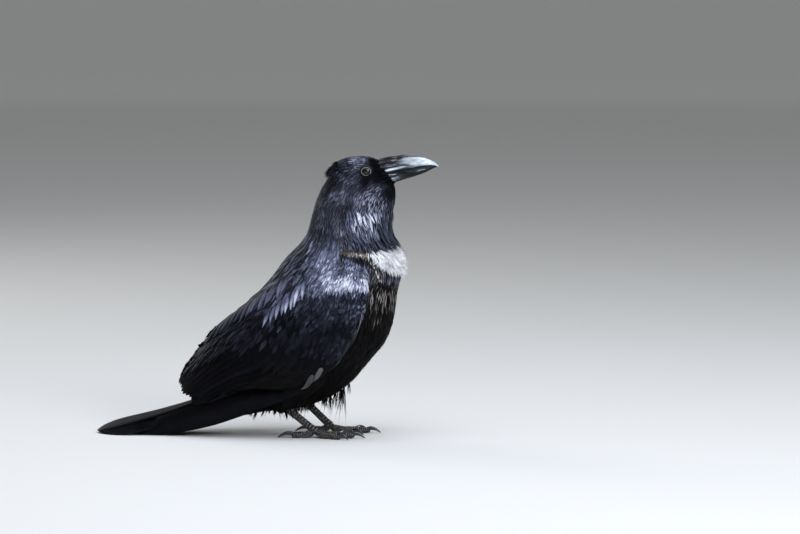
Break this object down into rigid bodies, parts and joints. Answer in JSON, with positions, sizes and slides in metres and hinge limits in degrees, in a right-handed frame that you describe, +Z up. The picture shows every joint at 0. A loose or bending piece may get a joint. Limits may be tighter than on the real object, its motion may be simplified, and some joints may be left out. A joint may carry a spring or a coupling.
{
  "type": "common raven model",
  "caption": "Life-size still model of a standing raven, head in profile and tail laid on the ground, with a stout bill, folded wings and spread toes.",
  "frame": {"origin": "on the ground, at the middle of the bird's length and width", "axes": "+X is the way the bird faces, from tail to bill; +Y is its left side; +Z is up"},
  "size_m": [0.4245, 0.1304, 0.3462],
  "materials": {
    "plumage": "black feathers, satin, with a faint blue and violet sheen",
    "flight_feather": "smooth black wing and tail feathers, satin",
    "white_plumage": "soft white feathers of the patch on the upper breast",
    "horn": "black horn of the bill and claws, half gloss",
    "scaled_skin": "black scaled skin of the feet, half matt",
    "eye": "wet dark brown eye, high gloss"
  },
  "bodies": {
    "root": {"head": "plumage", "neck": "plumage", "trunk": "plumage", "bill_upper": "horn", "bill_lower": "horn", "tail": "flight_feather", "eye_right": "eye", "wing_right": "plumage", "wing_tip_right": "flight_feather", "thigh_right": "plumage", "shank_right": "scaled_skin", "toe_hallux_right": "scaled_skin", "claw_hallux_right": "horn", "toe_inner_right": "scaled_skin", "claw_inner_right": "horn", "toe_middle_right": "scaled_skin", "claw_middle_right": "horn", "toe_outer_right": "scaled_skin", "claw_outer_right": "horn", "eye_left": "eye", "wing_left": "plumage", "wing_tip_left": "flight_feather", "thigh_left": "plumage", "shank_left": "scaled_skin", "toe_hallux_left": "scaled_skin", "claw_hallux_left": "horn", "toe_inner_left": "scaled_skin", "claw_inner_left": "horn", "toe_middle_left": "scaled_skin", "claw_middle_left": "horn", "toe_outer_left": "scaled_skin", "claw_outer_left": "horn"}
  },
  "joints": []
}
